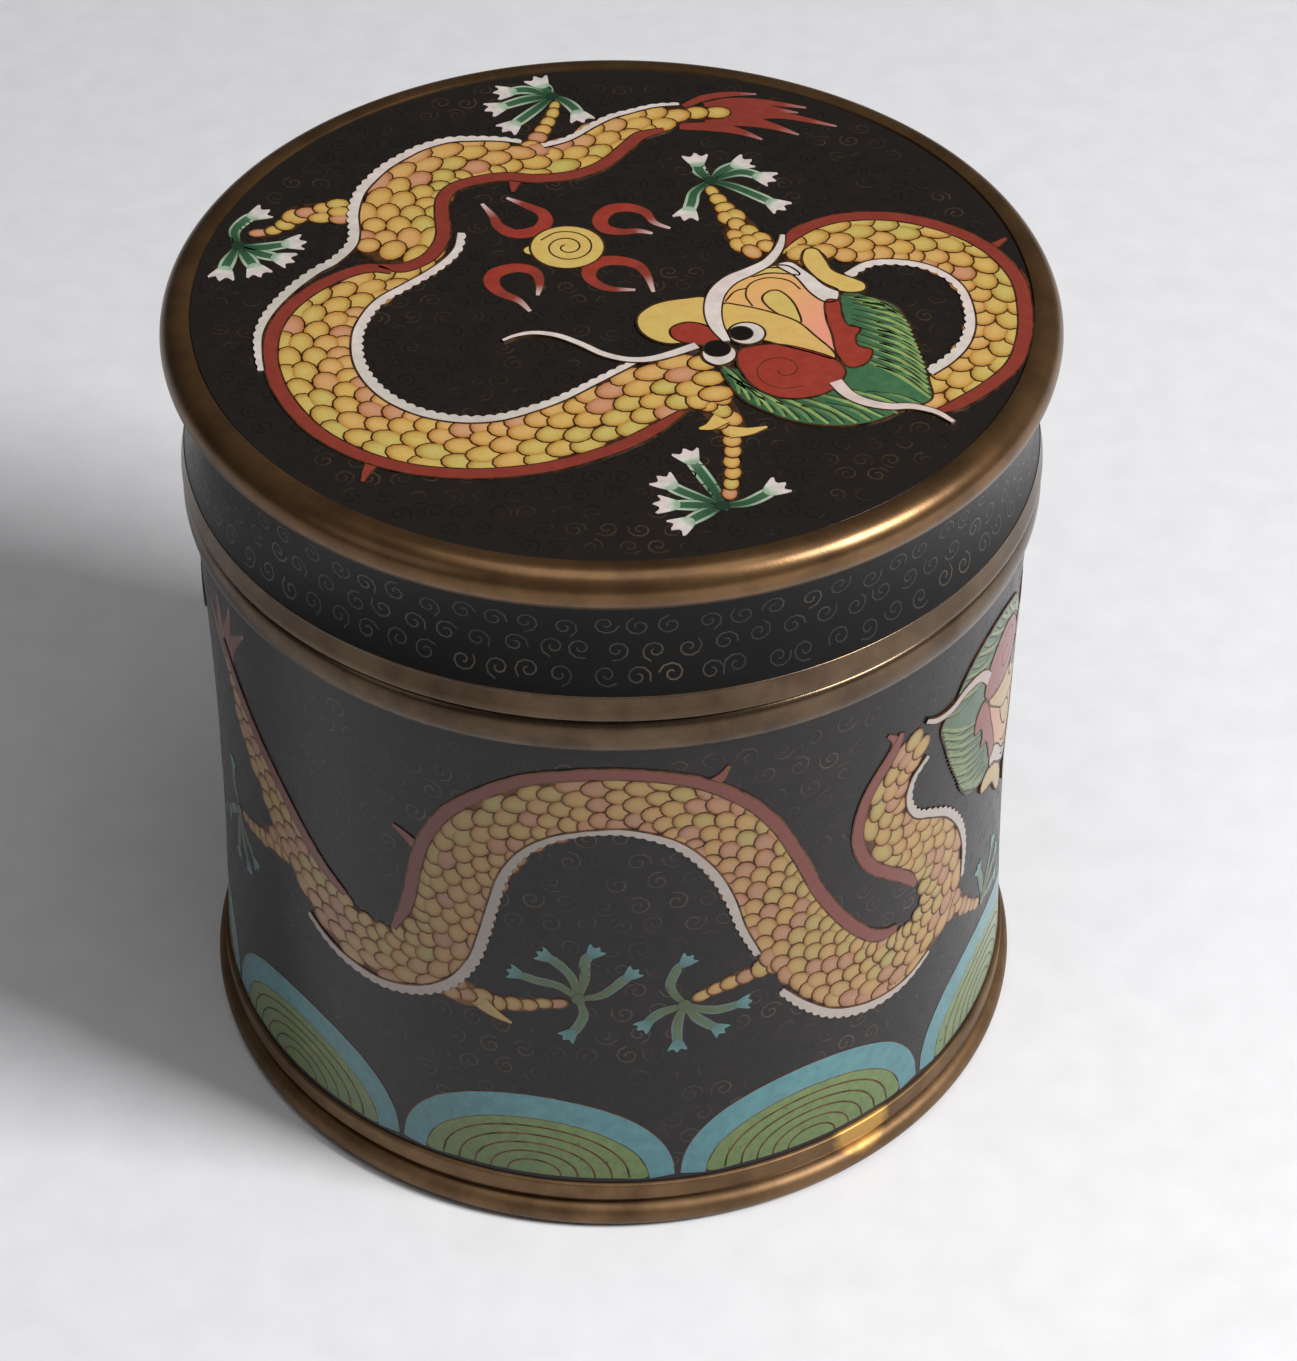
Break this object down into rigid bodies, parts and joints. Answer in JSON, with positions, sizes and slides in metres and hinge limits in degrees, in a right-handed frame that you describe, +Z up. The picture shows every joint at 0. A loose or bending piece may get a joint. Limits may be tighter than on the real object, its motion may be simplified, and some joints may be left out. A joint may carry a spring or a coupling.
{
  "type": "cloisonne enamel box",
  "caption": "Round lidded box with black enamel walls showing a dragon, pearl and wave pattern, between bronze rims; the lid lifts off.",
  "frame": {"origin": "centre of the underside, in the plane on which the foot ring stands", "axes": "+Z up, the axis of revolution of body and lid; -Y towards the front of the picture"},
  "size_m": [0.1, 0.1, 0.099],
  "materials": {
    "bronze_rim": "turned and gilt bronze, worn and toned brown",
    "side_enamel": "polished black cloisonne enamel with inlaid coloured cells",
    "top_enamel": "polished black cloisonne enamel with inlaid coloured cells",
    "counter_enamelled_copper": "copper sheet with glossy turquoise counter-enamel"
  },
  "bodies": {
    "root": {"cup": "counter_enamelled_copper", "foot_ring": "bronze_rim", "body_enamel": "side_enamel", "mouth_ring": "bronze_rim", "lid_ring": "bronze_rim", "lid_shell": "counter_enamelled_copper", "lid_side_enamel": "side_enamel", "lid_bead": "bronze_rim", "lid_top_enamel": "top_enamel"}
  },
  "joints": []
}
